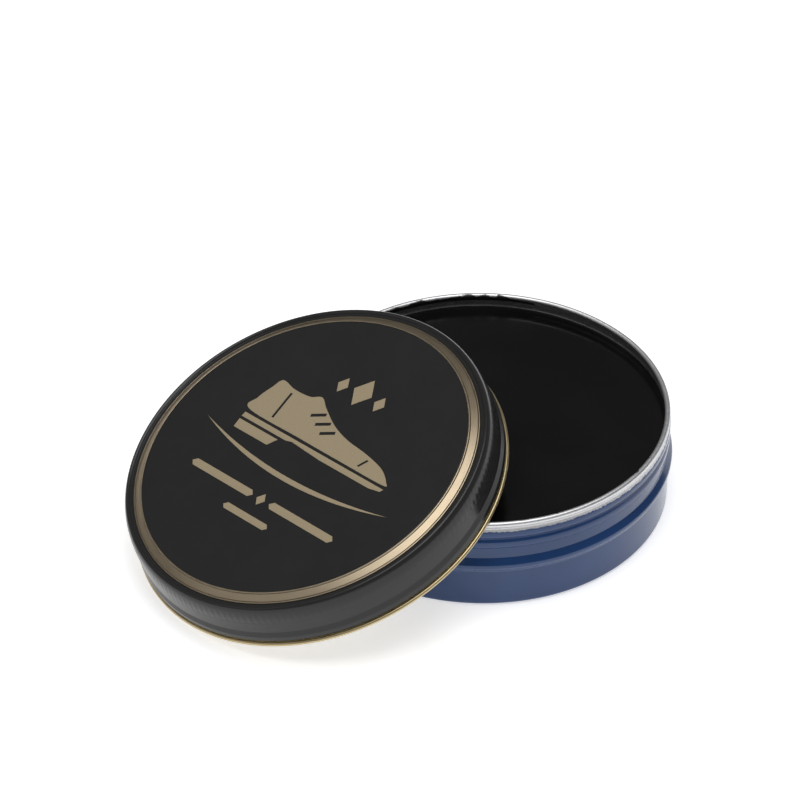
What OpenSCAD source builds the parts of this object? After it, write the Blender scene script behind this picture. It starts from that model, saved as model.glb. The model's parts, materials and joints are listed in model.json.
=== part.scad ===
// Round shoe polish tin: a shallow ribbed pan of polish with its push-on lid
// leaning on the rim. Origin at the centre of the pan's underside, +Z up, millimetres.

/* [Tin] */
// Radius of the plain lower wall, which is also the outside radius of the rolled rim
tin_r = 33.2; // [28:0.1:40]
// Height of the tin from the table to the top of its rolled rim
tin_h = 18.1; // [17:0.1:24]
// Thickness of the tin's sheet metal
tin_sheet = 0.3; // [0.2:0.05:0.4]
// Outside diameter of the tube that the rim is rolled into
rim_roll_d = 1.0; // [0.8:0.1:1.4]
// Rounding of the lower outside corner
foot_corner_r = 0.9; // [0.6:0.1:1.2]
// Depth of the stacking recess in the underside
recess_depth = 0.9; // [0.6:0.1:1.2]
// Width of the standing ring around that recess
foot_ring_w = 2.1; // [1.5:0.1:4]

/* [Neck] */
// How far the widest bead stands out from the lower wall
bead_proud = 0.6; // [0.4:0.1:0.8]
// Height at which the wall starts to swell into the bead
crease_z = 7.5; // [6:0.1:8]
// Height at which the bead reaches its full width
bead_z = 8.9; // [8.7:0.1:9.5]
// Height of the bead's upright part
bead_h = 0.4; // [0.3:0.05:0.6]
// Height at which the slope above the bead meets the neck
bead_end_z = 10.4; // [10.3:0.1:11.5]
// Height at which the neck's rings begin
neck_z = 12.6; // [12.4:0.1:12.6]
// How far the bottoms of the neck's grooves lie inside the wall radius
neck_inset = 0.25; // [0.25:0.05:0.4]
// Number of rings that stand out from the neck
neck_rings = 2; // [1:1:2]
// Height from one neck ring to the next
ring_pitch = 2.2; // [1.8:0.1:2.2]
// How far the neck rings stand out of the grooves between them
ring_proud = 0.35; // [0.25:0.05:0.35]

/* [Contents] */
// Depth of the polish surface below the top of the rim
polish_drop = 2.7; // [1.5:0.1:6]
// Radius of the paper label on the underside
label_r = 26; // [15:1:28]
// Thickness of that label
label_t = 0.12; // [0.1:0.01:0.2]

/* [Lid] */
// How far the lid's inside wall stands clear of the tin's wall radius
lid_play = 0.15; // [0.15:0.05:0.4]
// Thickness of the lid's sheet metal
lid_sheet = 0.25; // [0.2:0.05:0.3]
// Outside diameter of the tube that the lid's lower edge is rolled into
lid_roll_d = 0.8; // [0.6:0.1:0.9]
// How far the lid's skirt flares out above that rolled edge
flare_proud = 0.3; // [0.2:0.05:0.4]
// Height of the flat black ring around the raised panel
ledge_h = 8.8; // [8.5:0.1:10]
// Height of the rounded shoulder above that ring
shoulder_rise = 0.45; // [0.3:0.05:0.6]
// Height of the wall's curved part under the top of the shoulder
shoulder_h = 2.9; // [2:0.1:3.5]
// How far that curve leans in from the wall
shoulder_w = 1.0; // [0.8:0.05:1.2]
// Height of the raised panel above that ring
panel_rise = 0.9; // [0.6:0.1:1.2]
// Width of the black ring and shoulder between the gold bevel and the outside wall
ledge_w = 2.15; // [2.1:0.05:3]
// Width of the gold bevel as seen from above
bevel_w = 1.65; // [1:0.05:2.5]
// Thickness of the card liner inside the lid
liner_t = 1.5; // [0.8:0.1:1.6]
// Gap around the liner, which lets the lid turn about it
liner_gap = 0.08; // [0.05:0.01:0.1]

/* [Lean] */
// Distance across the table between the tin's axis and the centre of the lid's rolled edge
lean_reach = 32.3; // [29:0.1:34]
// Gap kept between the lid's rolled edge and the rim it leans on
lean_gap = 0.12; // [0.1:0.01:0.3]

/* [Hidden] */
$fn = 180;
roll_fn = 48;

// Rolled rim of the tin: centre line and tube radius
rim_tube_r = rim_roll_d / 2;
rim_ring_r = tin_r - rim_tube_r;
rim_ring_z = tin_h - rim_tube_r;

// Rolled edge of the lid, with heights measured from the lid's lower edge
lid_wall_r = tin_r + lid_play + lid_sheet;
lid_tube_r = lid_roll_d / 2;
lid_ring_r = lid_wall_r - lid_sheet + lid_tube_r;
panel_h = ledge_h + panel_rise;
bevel_foot_r = lid_wall_r - ledge_w;
liner_r = lid_wall_r - lid_sheet - shoulder_w / 2;
liner_top = ledge_h - lid_sheet - liner_gap;

// Outline helpers. A path runs up the outside of a sheet, with the metal to its left.
function arc(c, r, a0, a1, n) = [for (i = [0 : n]) let (a = a0 + (a1 - a0) * i / n) c + r * [cos(a), sin(a)]];
function ellipse_arc(c, r, a0, a1, n) =
    [for (i = [0 : n]) let (a = a0 + (a1 - a0) * i / n) c + [r[0] * cos(a), r[1] * sin(a)]];
function heading(p, i) = let (d = p[min(i + 1, len(p) - 1)] - p[max(i - 1, 0)]) d / norm(d);
function inner_face(p, t) = [for (i = [0 : len(p) - 1]) let (d = heading(p, i)) p[i] + t * [-d[1], d[0]]];
function reversed(p) = [for (i = [len(p) - 1 : -1 : 0]) p[i]];

// Tin: underside recess, standing ring, corner, wall, bead, slope, neck with rounded rings
neck_r = tin_r - neck_inset;
foot_out_r = tin_r - foot_corner_r;
foot_in_r = foot_out_r - foot_ring_w;
corner_steps = 6;
bead_steps = 6;
ring_steps = 12;
tin_path = concat(
    [[0, recess_depth], [foot_in_r - recess_depth, recess_depth], [foot_in_r, 0]],
    arc([foot_out_r, foot_corner_r], foot_corner_r, -90, 0, corner_steps),
    [for (i = [0 : bead_steps]) let (t = i / bead_steps)
        [tin_r + bead_proud * (1 - cos(180 * t)) / 2, crease_z + (bead_z - crease_z) * t]],
    [[tin_r + bead_proud, bead_z + bead_h], [neck_r, bead_end_z], [neck_r, neck_z]],
    [for (k = [0 : neck_rings - 1], i = [1 : ring_steps]) let (turn = -90 + 180 * i / ring_steps)
        [neck_r + ring_proud * cos(turn), neck_z + ring_pitch * (k + (1 + sin(turn)) / 2)]],
    [[neck_r, rim_ring_z]]
);
tin_inside = inner_face(tin_path, tin_sheet);

// Lid: rolled edge, groove, flared skirt, wall, shoulder, black ring, bevel, panel
groove_z = 1.05;
flare_low_z = 1.5;
flare_high_z = 2.4;
wall_low_z = 3.5;
shoulder_steps = 8;
lid_path = concat(
    [[lid_wall_r, lid_tube_r], [lid_wall_r, groove_z],
     [lid_wall_r + flare_proud, flare_low_z], [lid_wall_r + flare_proud, flare_high_z],
     [lid_wall_r, wall_low_z]],
    ellipse_arc([lid_wall_r - shoulder_w, ledge_h + shoulder_rise - shoulder_h], [shoulder_w, shoulder_h],
        0, 90, shoulder_steps),
    [[lid_wall_r - shoulder_w - shoulder_rise, ledge_h],
     [bevel_foot_r, ledge_h], [bevel_foot_r - bevel_w, panel_h], [0, panel_h]]
);

// Lean: the tilt at which the lid's rolled edge clears the rim where the two circles cross.
// The lid's low side rests on the table, on the -X side of the tin.
function crossing_z(tilt) =
    let (a = pow(lid_ring_r * sin(tilt), 2),
         b = lean_reach * lid_ring_r * cos(tilt),
         c = lean_reach * lean_reach + lid_ring_r * lid_ring_r - rim_ring_r * rim_ring_r,
         along = (b - sqrt(b * b + a * c)) / a)
    lid_tube_r + lid_ring_r * sin(tilt) * (1 - along);
function settle(low, high, steps) =
    steps == 0 ? high :
    let (mid = (low + high) / 2)
    crossing_z(mid) < rim_ring_z + rim_tube_r + lid_tube_r + lean_gap
        ? settle(mid, high, steps - 1) : settle(low, mid, steps - 1);
flattest = 5;
steepest = 45;
halvings = 24;
lean_tilt = settle(flattest, steepest, halvings);
lean_z = lid_tube_r + lid_ring_r * sin(lean_tilt);

// Carries a shape from the lid's own frame, origin at the centre of its lower edge, to the lean
module leaning() {
    translate([-lean_reach, 0, lean_z]) rotate([0, -lean_tilt, 0]) translate([0, 0, -lid_tube_r]) children();
}

module pan() {
    color("steelblue") rotate_extrude() union() {
        polygon(concat(tin_path, reversed(tin_inside)));
        translate([rim_ring_r, rim_ring_z]) circle(r = rim_tube_r, $fn = roll_fn);
    }
}

module polish() {
    surface_z = tin_h - polish_drop;
    color([0.08, 0.07, 0.07]) rotate_extrude() intersection() {
        polygon(concat(tin_inside, [[0, rim_ring_z]]));
        square([tin_r, surface_z]);
    }
}

module base_label() {
    color("gainsboro") translate([0, 0, recess_depth - label_t]) cylinder(r = label_r, h = label_t);
}

module lid_shell() {
    color([0.12, 0.12, 0.12]) leaning() rotate_extrude() union() {
        polygon(concat(lid_path, reversed(inner_face(lid_path, lid_sheet))));
        translate([lid_ring_r, lid_tube_r]) circle(r = lid_tube_r, $fn = roll_fn);
    }
}

module lid_liner() {
    color("ivory") leaning() translate([0, 0, liner_top - liner_t]) cylinder(r = liner_r, h = liner_t);
}

pan();
polish();
base_label();
lid_shell();
lid_liner();
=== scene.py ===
import json
import math

import bpy
from mathutils import Matrix, Vector, noise
from mathutils.geometry import tessellate_polygon


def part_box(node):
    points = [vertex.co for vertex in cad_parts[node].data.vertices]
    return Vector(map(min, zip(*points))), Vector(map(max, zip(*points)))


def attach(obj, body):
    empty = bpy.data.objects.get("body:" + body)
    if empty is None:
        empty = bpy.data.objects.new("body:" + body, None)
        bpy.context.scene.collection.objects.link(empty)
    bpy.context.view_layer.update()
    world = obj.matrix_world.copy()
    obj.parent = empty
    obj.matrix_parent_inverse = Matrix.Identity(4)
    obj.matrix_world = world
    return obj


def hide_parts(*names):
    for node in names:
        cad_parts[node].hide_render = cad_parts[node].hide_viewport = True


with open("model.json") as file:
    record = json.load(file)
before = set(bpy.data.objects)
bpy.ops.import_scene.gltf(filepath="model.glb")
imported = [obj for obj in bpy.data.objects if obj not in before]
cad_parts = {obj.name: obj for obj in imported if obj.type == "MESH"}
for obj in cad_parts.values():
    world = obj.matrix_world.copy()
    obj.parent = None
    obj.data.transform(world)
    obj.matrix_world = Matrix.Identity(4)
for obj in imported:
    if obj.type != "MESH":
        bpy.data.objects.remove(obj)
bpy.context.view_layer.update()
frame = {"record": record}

# ---------------------------------------------------------------------------
# Sizes. Outlines are in millimetres; everything placed in the scene is in metres.
# ---------------------------------------------------------------------------
MM = 0.001
TAU = 2 * math.pi

# The tin, from the frame: its height, and its widest radius at the bead
pan_low, pan_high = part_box("pan")
TIN_H = pan_high.z / MM
BEAD_R = pan_high.x / MM
TIN_SHEET = 0.3
ROLL_R = 0.5
WALL_R = BEAD_R - 0.6
NECK_R = WALL_R - 0.25
POLISH_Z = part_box("polish")[1].z / MM
LABEL_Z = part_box("base_label")[0].z / MM
LABEL_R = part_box("base_label")[1].x / MM

# The lid leans: its frame comes from the joint that turns it about its own axis
LID_JOINT = next(j for j in frame["record"]["behaviour"]["joints"] if j["name"] == "lid_turn")
LID_AXIS = Vector(LID_JOINT["axis"]).normalized()
LID_TUBE_R = 0.4
LID_ORIGIN = Vector(LID_JOINT["pos_m"]) - LID_AXIS * LID_TUBE_R * MM
LID_SHEET = 0.25
LID_WALL_R = 33.6
LID_LEDGE_Z = 8.8
LID_PANEL_Z = 9.7
BEVEL_OUT_R, BEVEL_IN_R = 31.45, 29.8
LINER_R = 32.85
LINER_TOP = 8.47
LINER_T = 1.5


def lid_matrix():
    """The lid's own frame: origin at the centre of its lower edge, X up the slope, Z along its axis."""
    across = Vector((0, 1, 0))
    up_slope = across.cross(LID_AXIS)
    turn = Matrix((up_slope, across, LID_AXIS)).transposed()
    return Matrix.Translation(LID_ORIGIN) @ turn.to_4x4()


# ---------------------------------------------------------------------------
# Outlines: a path is a list of (radius, height) points
# ---------------------------------------------------------------------------
def arc(centre, radius, start, end, step=12):
    """Points along an arc, angles in degrees, one for every step degrees."""
    count = max(2, math.ceil(abs(end - start) / step))
    turns = [math.radians(start + (end - start) * i / count) for i in range(count + 1)]
    return [(centre[0] + radius * math.cos(a), centre[1] + radius * math.sin(a)) for a in turns]


def rounded(corners, step=12):
    """A path through (radius, height, fillet) corners with each corner rounded to its fillet."""
    path = [corners[0][:2]]
    for before, here, after in zip(corners, corners[1:], corners[2:]):
        a, b, c = Vector(before[:2]), Vector(here[:2]), Vector(after[:2])
        u, v = (a - b).normalized(), (c - b).normalized()
        half = u.angle(v) / 2
        if here[2] <= 0 or half > math.radians(89):
            path.append(tuple(b))
            continue
        reach = here[2] / math.tan(half)
        centre = b + (u + v).normalized() * here[2] / math.sin(half)
        start, end = b + u * reach - centre, b + v * reach - centre
        a0 = math.degrees(math.atan2(start.y, start.x))
        turn = (math.degrees(math.atan2(end.y, end.x)) - a0 + 180) % 360 - 180
        path += arc(centre, here[2], a0, a0 + turn, step)
    path.append(corners[-1][:2])
    return path


def beside(path, distance):
    """The path moved sideways, to its right for a positive distance. Points on the axis stay on it."""
    moved = []
    for i, p in enumerate(path):
        a, b = path[max(i - 1, 0)], path[min(i + 1, len(path) - 1)]
        along = Vector((b[0] - a[0], b[1] - a[1])).normalized()
        if p[0] < 1e-6:
            along = Vector((1, 0)) if b[0] > a[0] else Vector((-1, 0))
        moved.append((max(p[0] + along.y * distance, 0), p[1] - along.x * distance))
    return moved


def supported(path, reach=0.12, longest=4.0):
    """The path with extra points near both ends of each long straight part and along it, so that smooth
    shading keeps the part flat."""
    out = [path[0]]
    for a, b in zip(path, path[1:]):
        a, b = Vector(a), Vector(b)
        length = (b - a).length
        if length > 4 * reach:
            count = math.ceil((length - 2 * reach) / longest)
            shares = ((reach + (length - 2 * reach) * i / count) / length for i in range(count + 1))
            out += [tuple(a.lerp(b, share)) for share in shares]
        out.append(tuple(b))
    return out


def sheet(path, thickness, outside, inside):
    """The closed section of a sheet along a path, as (radius, height, slot) points."""
    right = [(r, z, outside) for r, z in beside(path, thickness / 2)]
    left = [(r, z, inside) for r, z in beside(path, -thickness / 2)]
    return right + left[::-1]


# ---------------------------------------------------------------------------
# Meshes
# ---------------------------------------------------------------------------
def revolve(name, section, segments, shape=None):
    """A closed solid of revolution. section is a loop of (radius, height, slot) points that starts and
    ends on the axis. shape(radius, height, angle) may return a changed (radius, height)."""
    verts, rings = [], []
    for r, z, _ in section:
        if r < 1e-6:
            rings.append([len(verts)] * segments)
            verts.append((0, 0, z * MM))
            continue
        rings.append(range(len(verts), len(verts) + segments))
        for k in range(segments):
            a = TAU * k / segments
            rr, zz = shape(r, z, a) if shape else (r, z)
            verts.append((rr * math.cos(a) * MM, rr * math.sin(a) * MM, zz * MM))
    faces, slots = [], []
    for i in range(len(section) - 1):
        lower, upper = rings[i], rings[i + 1]
        for k in range(segments):
            n = (k + 1) % segments
            corners = list(dict.fromkeys((lower[k], lower[n], upper[n], upper[k])))
            if len(corners) > 2:
                faces.append(corners)
                slots.append(section[i][2])
    mesh = bpy.data.meshes.new(name)
    mesh.from_pydata(verts, [], faces)
    mesh.polygons.foreach_set("material_index", slots)
    mesh.polygons.foreach_set("use_smooth", [True] * len(faces))
    mesh.update()
    piece = bpy.data.objects.new(name, mesh)
    bpy.context.collection.objects.link(piece)
    return piece


def dress(piece, body, materials, replaces=None):
    """Gives a piece its materials and its body, and hides the CAD node it stands for."""
    for material in materials:
        piece.data.materials.append(material)
    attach(piece, body)
    if replaces:
        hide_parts(replaces)


# ---------------------------------------------------------------------------
# Materials
# ---------------------------------------------------------------------------
class Shader:
    """A node material with one Principled shader, and short calls for the nodes that feed it."""

    def __init__(self, name, **uniform):
        self.material = bpy.data.materials.new(name)
        self.material.use_nodes = True
        self.tree = self.material.node_tree
        self.principled = self.tree.nodes["Principled BSDF"]
        for key, value in uniform.items():
            self.principled.inputs[key.replace("_", " ")].default_value = value

    def node(self, kind, inputs=None, **settings):
        made = self.tree.nodes.new(kind)
        for key, value in settings.items():
            setattr(made, key, value)
        for key, value in (inputs or {}).items():
            self.put(made.inputs[key], value)
        return made

    def put(self, socket, value):
        if isinstance(value, bpy.types.NodeSocket):
            self.tree.links.new(value, socket)
        else:
            socket.default_value = value

    def feed(self, key, value):
        self.put(self.principled.inputs[key], value)

    def position(self, in_lid=False):
        """Position in the tin's frame, or in the lid's own frame, in millimetres."""
        where = self.node("ShaderNodeTexCoord").outputs["Object"]
        if in_lid:
            place, turn, _ = lid_matrix().decompose()
            where = self.node("ShaderNodeMapping", {"Vector": where, "Location": place,
                                                    "Rotation": turn.to_euler()},
                              vector_type="TEXTURE").outputs[0]
        return self.node("ShaderNodeVectorMath", {0: where, "Scale": 1000.0}, operation="SCALE").outputs[0]

    def math(self, operation, a, b=0.0):
        return self.node("ShaderNodeMath", {0: a, 1: b}, operation=operation).outputs[0]

    def noise(self, where, scale, detail=3.0, roughness=0.5):
        made = self.node("ShaderNodeTexNoise", {"Vector": where, "Scale": scale, "Detail": detail,
                                                "Roughness": roughness})
        return made.outputs["Fac"]

    def ramp(self, factor, low, high, to_low=0.0, to_high=1.0):
        made = self.node("ShaderNodeMapRange", {0: factor, 1: low, 2: high, 3: to_low, 4: to_high})
        return made.outputs[0]

    def mix(self, factor, a, b):
        made = self.node("ShaderNodeMix", data_type="RGBA")
        for key, value in ((0, factor), (6, a), (7, b)):
            self.put(made.inputs[key], value)
        return made.outputs[2]

    def split(self, where):
        return self.node("ShaderNodeSeparateXYZ", {0: where}).outputs

    def bump(self, height, distance_mm, strength=1.0):
        made = self.node("ShaderNodeBump", {"Height": height, "Distance": distance_mm * MM,
                                            "Strength": strength})
        self.feed("Normal", made.outputs[0])


def rgb(r, g, b):
    """A colour given as display values from 0 to 255, as the linear colour the shader needs."""
    shares = (c / 255 for c in (r, g, b))
    return tuple(((c + 0.055) / 1.055) ** 2.4 if c > 0.04 else c / 12.92 for c in shares) + (1.0,)


def round_coordinates(shader, where):
    """(distance from the axis, height, angle in radians) in the piece's own frame."""
    x, y, z = shader.split(where)
    squares = shader.math("ADD", shader.math("MULTIPLY", x, x), shader.math("MULTIPLY", y, y))
    return shader.math("SQRT", squares), z, shader.math("ARCTAN2", y, x)


def draw_marks(shader, height, angle):
    """Noise stretched upright: the fine marks that drawing leaves up a wall."""
    where = shader.node("ShaderNodeCombineXYZ", {0: shader.math("MULTIPLY", angle, 90.0), 1: height})
    return shader.noise(where.outputs[0], 1.0, 3.0, 0.6)


def blue_lacquer():
    """Blue lacquer on the tin's outside. It stops in a ragged line just under the bare rolled rim."""
    s = Shader("blue_lacquer", IOR=1.45, Coat_Weight=0.2, Coat_Roughness=0.05)
    where = s.position()
    _, height, angle = round_coordinates(s, where)
    ragged = s.math("MULTIPLY", s.math("SUBTRACT", s.noise(where, 1.8, 5.0, 0.65), 0.5), 0.6)
    edge = s.ramp(s.math("ADD", height, ragged), TIN_H - 1.8, TIN_H - 1.7)
    cloud = s.noise(where, 0.09, 2.0)
    paint = s.mix(s.ramp(cloud, 0.3, 0.7), rgb(22, 57, 106), rgb(28, 64, 116))
    streaks = draw_marks(s, height, angle)
    bare = s.mix(streaks, rgb(196, 197, 200), rgb(236, 236, 238))
    s.feed("Base Color", s.mix(edge, paint, bare))
    s.feed("Metallic", s.math("MULTIPLY", edge, 0.7))
    lacquer_gloss = s.ramp(s.noise(where, 0.6, 6.0, 0.7), 0.35, 0.75, 0.12, 0.24)
    s.feed("Roughness", s.math("ADD", lacquer_gloss, s.math("MULTIPLY", edge, 0.26)))
    s.bump(s.noise(where, 1.1, 3.0), 0.008, 0.5)
    return s.material


# Direction, in degrees round the tin, on whose side the dark coat on the inside wall (a polish smear with
# painted shade) stops low on the wall
BARE_WALL_SIDE = 6


def bare_aluminium():
    """Bare drawn aluminium inside the tin and on its rolled rim, with fine draw marks up it. A dark matt coat
    with a ragged edge covers the inside wall, and stops low on one side: painted shade that stands in for the
    wall's dark reflection of the polish, with a real smear of polish along its torn edge."""
    s = Shader("bare_aluminium", IOR=1.5)
    where = s.position()
    radius, height, angle = round_coordinates(s, where)
    marks = draw_marks(s, height, angle)
    torn = s.math("MULTIPLY", s.math("SUBTRACT", s.noise(where, 0.3, 5.0, 0.6), 0.5), 2.4)
    level = s.math("ADD", height, torn)
    inside = s.ramp(radius, NECK_R - 0.1, NECK_R - 0.2)
    off_bare_side = s.math("ABSOLUTE", s.math("SUBTRACT", angle, math.radians(BARE_WALL_SIDE)))
    smear_and_shade_top = s.ramp(off_bare_side, math.radians(28), math.radians(46), POLISH_Z + 0.55, TIN_H - 0.2)
    above = s.math("SUBTRACT", level, smear_and_shade_top)
    # Painted shade: the dark matt coat stands in for the inside wall's reflection of the polish and hides the
    # neck-ring highlights; its ragged, torn edge is a real polish smear.
    smear_and_shade = s.math("MULTIPLY", inside, s.ramp(above, -0.15, 0.05, 1.0, 0.0))
    s.feed("Base Color", s.mix(smear_and_shade, s.mix(marks, rgb(196, 197, 199), rgb(234, 234, 236)), rgb(30, 30, 31)))
    s.feed("Metallic", s.math("SUBTRACT", 1.0, smear_and_shade))
    s.feed("Roughness", s.ramp(marks, 0.3, 0.7, 0.38, 0.5))
    s.bump(marks, 0.012, 0.6)
    return s.material


def dark_wax():
    """The polish: glossy and almost black, with faint clouding where it set."""
    s = Shader("dark_wax", IOR=1.33)
    where = s.position()
    cloud = s.noise(where, 0.05, 3.0)
    s.feed("Base Color", s.mix(s.ramp(cloud, 0.35, 0.65), rgb(10, 10, 11), rgb(17, 16, 17)))
    s.feed("Roughness", s.ramp(s.noise(where, 0.12, 4.0), 0.35, 0.65, 0.1, 0.22))
    s.bump(s.noise(where, 0.3, 3.0), 0.012, 0.4)
    return s.material


def black_enamel():
    """Black enamel on the lid's outside, with the faint unevenness of a stoved coat."""
    s = Shader("black_enamel", IOR=1.4)
    where = s.position(in_lid=True)
    s.feed("Base Color", s.mix(s.noise(where, 0.08, 2.0), rgb(38, 38, 38), rgb(43, 43, 43)))
    s.feed("Roughness", s.ramp(s.noise(where, 0.3, 4.0, 0.6), 0.3, 0.7, 0.16, 0.24))
    s.bump(s.noise(where, 1.6, 2.0), 0.003, 0.4)
    return s.material


def gold_lacquer(name, dark, light, metallic=1.0):
    """Pale gold lacquer over bright sheet metal, with fine marks that run round it."""
    s = Shader(name, Metallic=metallic, IOR=1.5)
    where = s.position(in_lid=True)
    radius, height, angle = round_coordinates(s, where)
    marks = s.noise(s.node("ShaderNodeCombineXYZ", {0: s.math("MULTIPLY", angle, 4.0), 1: radius,
                                                    2: height}).outputs[0], 3.0, 4.0, 0.6)
    s.feed("Base Color", s.mix(marks, dark, light))
    s.feed("Roughness", s.ramp(marks, 0.3, 0.7, 0.3, 0.4))
    s.bump(marks, 0.002, 0.3)
    return s.material


def gold_ink():
    """The printed gold of the panel: matt metallic ink with a fine grain."""
    s = Shader("gold_ink", Metallic=0.2, IOR=1.45)
    where = s.position(in_lid=True)
    s.feed("Base Color", s.mix(s.noise(where, 4.0, 4.0), rgb(160, 144, 116), rgb(182, 166, 136)))
    s.feed("Roughness", s.ramp(s.noise(where, 6.0, 2.0), 0.3, 0.7, 0.45, 0.6))
    return s.material


PRESS_R = 32.6


def card():
    """Grey-white pulp board of the liner, with fibres and a ring pressed in by the rim."""
    s = Shader("liner_card", IOR=1.45)
    where = s.position(in_lid=True)
    radius, _, _ = round_coordinates(s, where)
    off_ring = s.math("ABSOLUTE", s.math("SUBTRACT", radius, PRESS_R))
    print_ring = s.ramp(off_ring, 0.2, 0.9, 0.5, 0.0)
    fibres = s.noise(where, 2.5, 8.0, 0.7)
    base = s.mix(fibres, rgb(206, 198, 178), rgb(232, 226, 210))
    s.feed("Base Color", s.mix(print_ring, base, rgb(120, 110, 100)))
    s.feed("Roughness", s.ramp(fibres, 0.2, 0.8, 0.75, 0.95))
    s.bump(fibres, 0.05, 0.6)
    return s.material


def label_paper():
    """Plain white label paper with a thin blue printed border."""
    s = Shader("label_paper", IOR=1.45)
    where = s.position()
    radius, _, _ = round_coordinates(s, where)
    off_border = s.math("ABSOLUTE", s.math("SUBTRACT", radius, LABEL_R - 1.6))
    border = s.ramp(off_border, 0.3, 0.36, 1.0, 0.0)
    fibres = s.noise(where, 5.0, 6.0, 0.6)
    paper = s.mix(fibres, rgb(226, 226, 222), rgb(240, 240, 236))
    s.feed("Base Color", s.mix(border, paper, rgb(38, 62, 112)))
    s.feed("Roughness", s.ramp(fibres, 0.2, 0.8, 0.5, 0.7))
    s.bump(fibres, 0.01, 0.4)
    return s.material


def white_table():
    """A white light table: it glows faintly, so shadows on it stay pale."""
    s = Shader("white_table", Roughness=0.7, Emission_Strength=0.58)
    s.principled.inputs["Emission Color"].default_value = (1, 1, 1, 1)
    grain = s.noise(s.position(), 0.5, 2.0)
    s.feed("Base Color", s.mix(grain, (0.88, 0.88, 0.88, 1), (0.9, 0.9, 0.9, 1)))
    return s.material


# ---------------------------------------------------------------------------
# The tin
# ---------------------------------------------------------------------------
OUTSIDE, INSIDE, BEVEL, EDGE = 0, 1, 2, 3
CREASE_Z, BEAD_Z, BEAD_TOP_Z, BEAD_END_Z = 7.5, 8.9, 9.3, 10.4
NECK_RINGS, RING_FOOT_Z, RING_PITCH, RING_PROUD = 2, 12.6, 2.2, 0.35


RING_STEPS = 24
RECESS_DEPTH, RECESS_R, FOOT_R = 0.9, 29.35, 30.2


def ring_swell(up):
    """How far a neck ring stands out, 0 to 1, at this share of its height: a rounded foot, an upright crest
    and a slope back to the neck."""
    if up < 0.3:
        return math.sin(math.radians(90 * up / 0.3))
    if up < 0.5:
        return 1.0
    return (1 + math.cos(math.radians(180 * (up - 0.5) / 0.5))) / 2


def tin_section():
    """Section of the pan: recessed underside, standing ring, wall, bead, ringed neck and rolled rim."""
    half = TIN_SHEET / 2
    wall, neck, bead = WALL_R - half, NECK_R - half, BEAD_R - half
    recess = RECESS_DEPTH + half
    foot = rounded([(0, recess, 0), (RECESS_R, recess, 0.6), (FOOT_R, half, 0.4), (wall, half, 0.75),
                    (wall, CREASE_Z, 0)], step=9)
    swell = [(wall + (bead - wall) * (1 - math.cos(math.pi * t)) / 2, CREASE_Z + (BEAD_Z - CREASE_Z) * t)
             for t in (i / 12 for i in range(1, 13))]
    slope = rounded([swell[-1] + (0,), (bead, BEAD_TOP_Z, 0.35), (neck, BEAD_END_Z, 0.2),
                     (neck, RING_FOOT_Z - 0.1, 0)], step=6)
    body = foot + swell + slope[1:]
    ups = [(i + 1) / RING_STEPS for i in range(RING_STEPS)]
    rings = [(neck, RING_FOOT_Z)] + [(neck + RING_PROUD * ring_swell(up), RING_FOOT_Z + RING_PITCH * (k + up))
                                     for k in range(NECK_RINGS) for up in ups]
    roll = arc((WALL_R - ROLL_R, TIN_H - ROLL_R), ROLL_R - half, 180, -110, 12)
    return sheet(supported(body + rings + roll), TIN_SHEET, OUTSIDE, INSIDE)


def make_tin():
    pan = revolve("tin_pan", tin_section(), 360)
    dress(pan, "tin", [blue_lacquer(), bare_aluminium()], "pan")


def make_polish():
    bore = NECK_R - TIN_SHEET - 0.02
    flat = [(r, POLISH_Z, 0) for r in (0, 4, 8, 12, 16, 20, 24, 28, 30, 31, 31.6, 32.0)]
    rim = [(bore - 0.1, POLISH_Z, 0), (bore, POLISH_Z, 0)]
    under = [(bore, 12.7, 0), (bore, 8, 0), (bore, 1.6, 0), (bore - 1, 1.25, 0), (0, 1.25, 0)]

    def shape(r, z, a):
        if z < POLISH_Z - 0.5:
            return r, z
        ripple = 0.03 * noise.noise(Vector((r * math.cos(a), r * math.sin(a), 0)) * 0.1)
        return r, z + ripple

    block = revolve("polish_block", (flat + rim + under)[::-1], 240, shape)
    block.data.set_sharp_from_angle(angle=math.radians(35))
    dress(block, "tin", [dark_wax()], "polish")


def make_label():
    z0, z1 = LABEL_Z, LABEL_Z + 0.11
    section = [(0, z0, 0), (LABEL_R - 0.04, z0, 0), (LABEL_R, z0 + 0.03, 0), (LABEL_R, z1, 0), (0, z1, 0)]
    label = revolve("underside_label", section, 180)
    label.data.set_sharp_from_angle(angle=math.radians(35))
    dress(label, "tin", [label_paper()], "base_label")


# ---------------------------------------------------------------------------
# The lid
# ---------------------------------------------------------------------------
FLUTES = 170
FLUTE_LOW, FLUTE_HIGH = 5.7, 8.3
FLUTE_DEPTH = 0.035
SHOULDER_R, SHOULDER_FOOT_Z, SHOULDER_TOP_Z = 32.6, 6.35, 9.25


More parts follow.
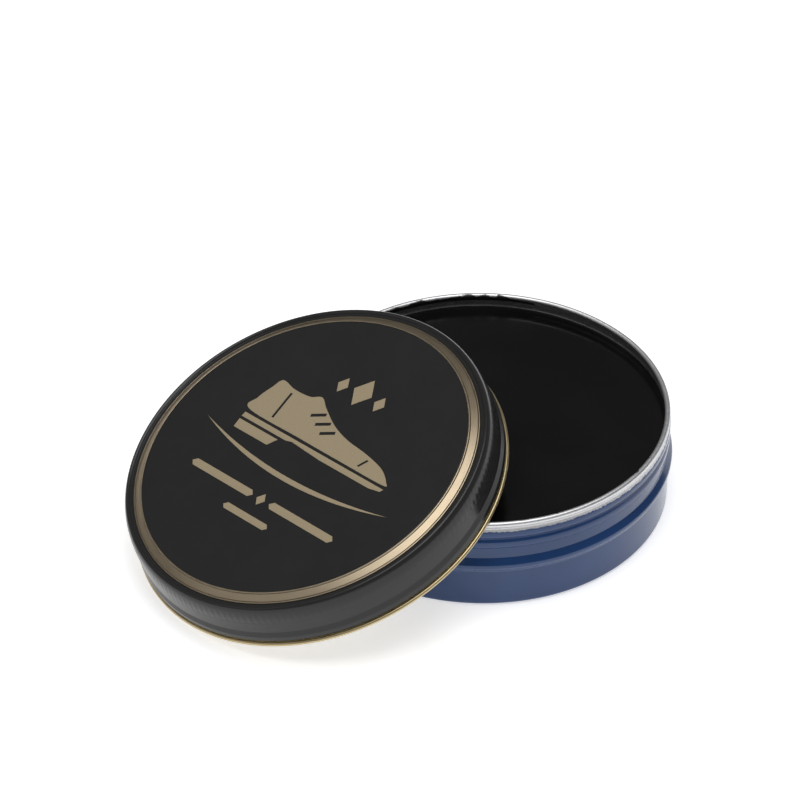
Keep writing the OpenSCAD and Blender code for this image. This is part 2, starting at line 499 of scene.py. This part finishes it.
def lid_section():
    """Section of the lid, from the end of its rolled edge up the skirt to the middle of the panel."""
    half = LID_SHEET / 2
    wall, top = LID_WALL_R - half, LID_PANEL_Z - half
    ledge = LID_LEDGE_Z - half
    roll = arc((wall + LID_TUBE_R - half, LID_TUBE_R), LID_TUBE_R - half, 470, 180, 15)
    skirt = rounded([
        (wall, LID_TUBE_R, 0), (wall, 1.1, 0.16), (wall + 0.3, 1.45, 0.16), (wall + 0.3, 2.35, 0.2),
        (wall, 3.4, 0.25), (wall, FLUTE_LOW - 0.1, 0),
    ], step=9)
    across, rise = wall - SHOULDER_R, SHOULDER_TOP_Z - half - SHOULDER_FOOT_Z
    heights = [FLUTE_LOW + i * 0.13 for i in range(21)]
    curve = [(SHOULDER_R + across * math.sqrt(1 - (max(z - SHOULDER_FOOT_Z, 0) / rise) ** 2), z)
             for z in heights]
    last = math.asin((heights[-1] - SHOULDER_FOOT_Z) / rise)
    turns = (last + (math.pi / 2 - last) * i / 8 for i in range(1, 9))
    crest = [(SHOULDER_R + across * math.cos(a), SHOULDER_FOOT_Z + rise * math.sin(a)) for a in turns]
    inner = rounded([
        crest[-1] + (0,), (SHOULDER_R - 0.35, ledge, 0.25), (BEVEL_OUT_R + 0.05, ledge, 0.1),
        (BEVEL_OUT_R - 0.02, ledge + 0.16, 0.08), (BEVEL_OUT_R - 0.2, ledge + 0.18, 0.1),
        (BEVEL_IN_R + 0.22, top - 0.06, 0.1), (BEVEL_IN_R + 0.08, top + 0.04, 0.06),
        (BEVEL_IN_R - 0.06, top, 0.06), (0, top, 0),
    ], step=15)
    return supported(roll[:-1] + skirt + curve + crest + inner[1:])


def lid_faces(path):
    """Slots along the lid: gold on the rolled edge, the bevel and the inside, black elsewhere outside."""
    loop = []
    for r, z, slot in sheet(path[::-1], LID_SHEET, INSIDE, OUTSIDE):
        if slot == OUTSIDE and BEVEL_IN_R - 0.02 <= r <= BEVEL_OUT_R + 0.12 and z > LID_LEDGE_Z + 0.02:
            slot = BEVEL
        if slot == OUTSIDE and z < 0.9:
            slot = EDGE
        loop.append((r, z, slot))
    return loop


def fluted(r, z, a):
    """Presses the narrow upright flutes into the upper wall."""
    if r < LID_WALL_R - 1.1 or not FLUTE_LOW < z < FLUTE_HIGH:
        return r, z
    ends = min(1, (z - FLUTE_LOW) / 0.3, (FLUTE_HIGH - z) / 0.3)
    press = 0.5 + 0.5 * math.cos(a * FLUTES)
    return r - FLUTE_DEPTH * ends * press ** 2, z


def in_lid_frame(piece):
    """Carries a mesh drawn in the lid's own frame to where the lid leans."""
    piece.data.transform(lid_matrix())
    piece.data.update()
    return piece


def make_lid():
    lid = revolve("lid_shell_pressed", lid_faces(lid_section()), FLUTES * 5, fluted)
    in_lid_frame(lid)
    inside = gold_lacquer("gold_inside", rgb(178, 160, 122), rgb(206, 190, 150))
    bevel = gold_lacquer("gold_bevel", rgb(160, 145, 122), rgb(178, 163, 139), 0.9)
    edge = gold_lacquer("gold_edge", rgb(220, 206, 160), rgb(240, 230, 188))
    dress(lid, "lid", [black_enamel(), inside, bevel, edge], "lid_shell")


def make_liner():
    top, low = LINER_TOP, LINER_TOP - LINER_T
    rim = LINER_R
    section = [(0, low, 0), (20, low, 0), (31.7, low, 0), (32.2, low + 0.07, 0), (rim - 0.1, low + 0.08, 0),
               (rim, low + 0.16, 0), (rim, top - 0.1, 0), (rim - 0.08, top, 0), (0, top, 0)]
    liner = revolve("liner_disc", section, 240)
    liner.data.set_sharp_from_angle(angle=math.radians(35))
    in_lid_frame(liner)
    dress(liner, "liner", [card()], "lid_liner")


# ---------------------------------------------------------------------------
# The printed design on the panel: a plain side view of a laced shoe over a thin curve,
# with diamonds above and plain bars below. It holds no lettering.
# ---------------------------------------------------------------------------
ART_TURN = math.radians(-75.3)
INK_T = 0.03


def smooth_line(points, steps=10):
    """A closed curve through the given points (Catmull-Rom)."""
    out, n = [], len(points)
    for i in range(n):
        a, b, c, d = (Vector(points[(i + k) % n]) for k in (-1, 0, 1, 2))
        for k in range(steps):
            t = k / steps
            out.append(tuple(0.5 * (2 * b + (c - a) * t + (2 * a - 5 * b + 4 * c - d) * t ** 2
                                    + (3 * b - 3 * c + d - a) * t ** 3)))
    return out


def diamond(x, y, width, height):
    return [(x - width / 2, y), (x, y - height / 2), (x + width / 2, y), (x, y + height / 2)]


def bar(x0, x1, y, height):
    """A bar with pointed ends."""
    h = height / 2
    return [(x0, y), (x0 + h, y - h), (x1 - h, y - h), (x1, y), (x1 - h, y + h), (x0 + h, y + h)]


def crescent(x0, x1, y, sag, weight, steps=40):
    """A thin curve that sags by sag and swells to weight in its middle."""
    across = [(i / steps, x0 + (x1 - x0) * i / steps) for i in range(steps + 1)]
    low = [(x, y - (sag + weight / 2) * 4 * t * (1 - t)) for t, x in across]
    high = [(x, y - (sag - weight / 2) * 4 * t * (1 - t)) for t, x in across]
    return low + high[-2:0:-1]


def shoe_shapes():
    """Upper, sole and heel of a laced shoe that points to the right, as separate flat shapes."""
    upper = smooth_line([(-16.4, 2.3), (-16.9, 5.0), (-16.2, 8.0), (-15.4, 10.2), (-12.0, 9.7), (-8.2, 9.9),
                         (-6.0, 10.9), (-3.6, 9.5), (0.6, 7.4), (5.0, 6.2), (10.5, 5.6), (15.2, 4.6),
                         (18.0, 2.9), (17.8, 2.1), (8.0, 2.05), (-3.0, 2.1)])
    sole = [(-16.6, 1.45), (-16.6, 0.45), (-5.2, 0.45), (-3.8, 0.8), (3.5, 0.35), (16.0, 0.35),
            (18.4, 0.8), (18.7, 1.45)]
    heel = [(-16.5, -0.15), (-16.2, -2.0), (-7.6, -2.0), (-6.6, -0.15)]
    return upper, sole, heel


def shoe_lines():
    """Gaps left unprinted in the upper: three laces, the toe seam and the heel seam."""
    laces = [[(x, y), (x + 2.6, y + 1.5), (x + 2.3, y + 2.1), (x - 0.3, y + 0.6)]
             for x, y in ((-4.9, 6.6), (-2.7, 5.5), (-0.5, 4.4))]
    toe = [(10.6, 2.9), (11.1, 2.9), (11.9, 4.7), (11.4, 4.8)]
    heel_seam = [(-11.4, 3.0), (-10.9, 3.0), (-11.6, 8.8), (-12.1, 8.8)]
    return laces + [toe, heel_seam]


def printed_shapes():
    """Every inked shape, each as an outline and its unprinted gaps."""
    upper, sole, heel = shoe_shapes()
    solid = [sole, heel, crescent(-22.5, 23.5, -2.6, 3.2, 1.0), bar(-17.5, -1.8, -11.3, 1.5),
             bar(2.4, 18.5, -11.3, 1.5), diamond(0.3, -11.3, 2.0, 2.6), bar(-5.2, 6.0, -15.4, 1.3),
             diamond(0, 15.4, 4.4, 6.2), diamond(-4.6, 14.9, 2.4, 3.4), diamond(4.6, 14.9, 2.4, 3.4)]
    return [(upper, shoe_lines())] + [(shape, []) for shape in solid]


def anticlockwise(loop, wanted=True):
    area = sum(a[0] * b[1] - b[0] * a[1] for a, b in zip(loop, loop[1:] + loop[:1]))
    return loop if (area > 0) == wanted else loop[::-1]


def make_print():
    """One closed slab for each inked shape, a few hundredths of a millimetre thick and half sunk in the
    panel."""
    verts, faces = [], []
    low, high = LID_PANEL_Z - INK_T / 2, LID_PANEL_Z + INK_T / 2
    for outline, gaps in printed_shapes():
        loops = [anticlockwise(outline)] + [anticlockwise(g, False) for g in gaps]
        flat = [p for loop in loops for p in loop]
        start, count = len(verts), len(flat)
        verts += [(x, y, low) for x, y in flat] + [(x, y, high) for x, y in flat]
        caps = tessellate_polygon([[Vector((x, y, 0)) for x, y in loop] for loop in loops])
        for tri in caps:
            a, b, c = (Vector(flat[k]) for k in tri)
            tri = tri if (b - a).cross(c - a) > 0 else tri[::-1]
            faces.append([start + count + k for k in tri])
            faces.append([start + k for k in tri[::-1]])
        first = start
        for loop in loops:
            n = len(loop)
            for k in range(n):
                a, b = first + k, first + (k + 1) % n
                faces.append([a, b, b + count, a + count])
            first += n
    mesh = bpy.data.meshes.new("panel_print")
    mesh.from_pydata(verts, [], faces)
    mesh.transform(Matrix.Rotation(ART_TURN, 4, "Z"))
    mesh.transform(Matrix.Scale(MM, 4))
    piece = bpy.data.objects.new("panel_print", mesh)
    bpy.context.collection.objects.link(piece)
    in_lid_frame(piece)
    dress(piece, "lid", [gold_ink()])


# ---------------------------------------------------------------------------
# Camera, light and table
# ---------------------------------------------------------------------------
CAMERA_AZIMUTH = -29.56
CAMERA_ELEVATION = 37.97
CAMERA_DISTANCE = 0.8
CAMERA_AIM = Vector((-0.00045, 0.02832, 0))
CAMERA_LENS = 197.0


def direction(azimuth, elevation):
    a, e = math.radians(azimuth), math.radians(elevation)
    return Vector((math.sin(a) * math.cos(e), -math.cos(a) * math.cos(e), math.sin(e)))


def make_camera():
    data = bpy.data.cameras.new("camera")
    data.lens = CAMERA_LENS
    data.sensor_width = 36
    data.clip_start, data.clip_end = 0.05, 20
    camera = bpy.data.objects.new("camera", data)
    bpy.context.collection.objects.link(camera)
    back = direction(CAMERA_AZIMUTH, CAMERA_ELEVATION)
    camera.location = CAMERA_AIM + back * CAMERA_DISTANCE
    camera.rotation_euler = (-back).to_track_quat("-Z", "Y").to_euler()
    bpy.context.scene.camera = camera


def softbox(name, azimuth, elevation, distance, size, radiance):
    """A rectangular soft light that faces the tin. Its watts follow from the radiance wanted."""
    data = bpy.data.lights.new(name, "AREA")
    data.shape = "RECTANGLE"
    data.size, data.size_y = size
    data.energy = radiance * math.pi * size[0] * size[1]
    lamp = bpy.data.objects.new(name, data)
    bpy.context.collection.objects.link(lamp)
    back = direction(azimuth, elevation)
    lamp.location = back * distance
    lamp.rotation_euler = (-back).to_track_quat("-Z", "Y").to_euler()


def make_studio():
    bpy.ops.mesh.primitive_circle_add(vertices=96, radius=3, fill_type="NGON", location=(0, 0, -0.00005))
    table = bpy.context.object
    table.name = "table"
    table.data.materials.append(white_table())
    softbox("overhead", CAMERA_AZIMUTH, 88, 1.1, (1.0, 1.0), 2.8)
    softbox("left", CAMERA_AZIMUTH - 70, 36, 1.2, (0.9, 0.8), 0.35)
    world = bpy.data.worlds.new("studio")
    world.use_nodes = True
    tree = world.node_tree
    room, output = tree.nodes["Background"], tree.nodes["World Output"]
    room.inputs[0].default_value = (0.15, 0.15, 0.15, 1)
    pale = tree.nodes.new("ShaderNodeBackground")
    pale.inputs[0].default_value = (0.9, 0.9, 0.9, 1)
    mix, path = tree.nodes.new("ShaderNodeMixShader"), tree.nodes.new("ShaderNodeLightPath")
    tree.links.new(path.outputs["Is Camera Ray"], mix.inputs[0])
    tree.links.new(room.outputs[0], mix.inputs[1])
    tree.links.new(pale.outputs[0], mix.inputs[2])
    tree.links.new(mix.outputs[0], output.inputs[0])
    bpy.context.scene.world = world
    bpy.context.scene.view_settings.view_transform = "Standard"


make_camera()
make_studio()
make_tin()
make_polish()
make_label()
make_lid()
make_liner()
make_print()
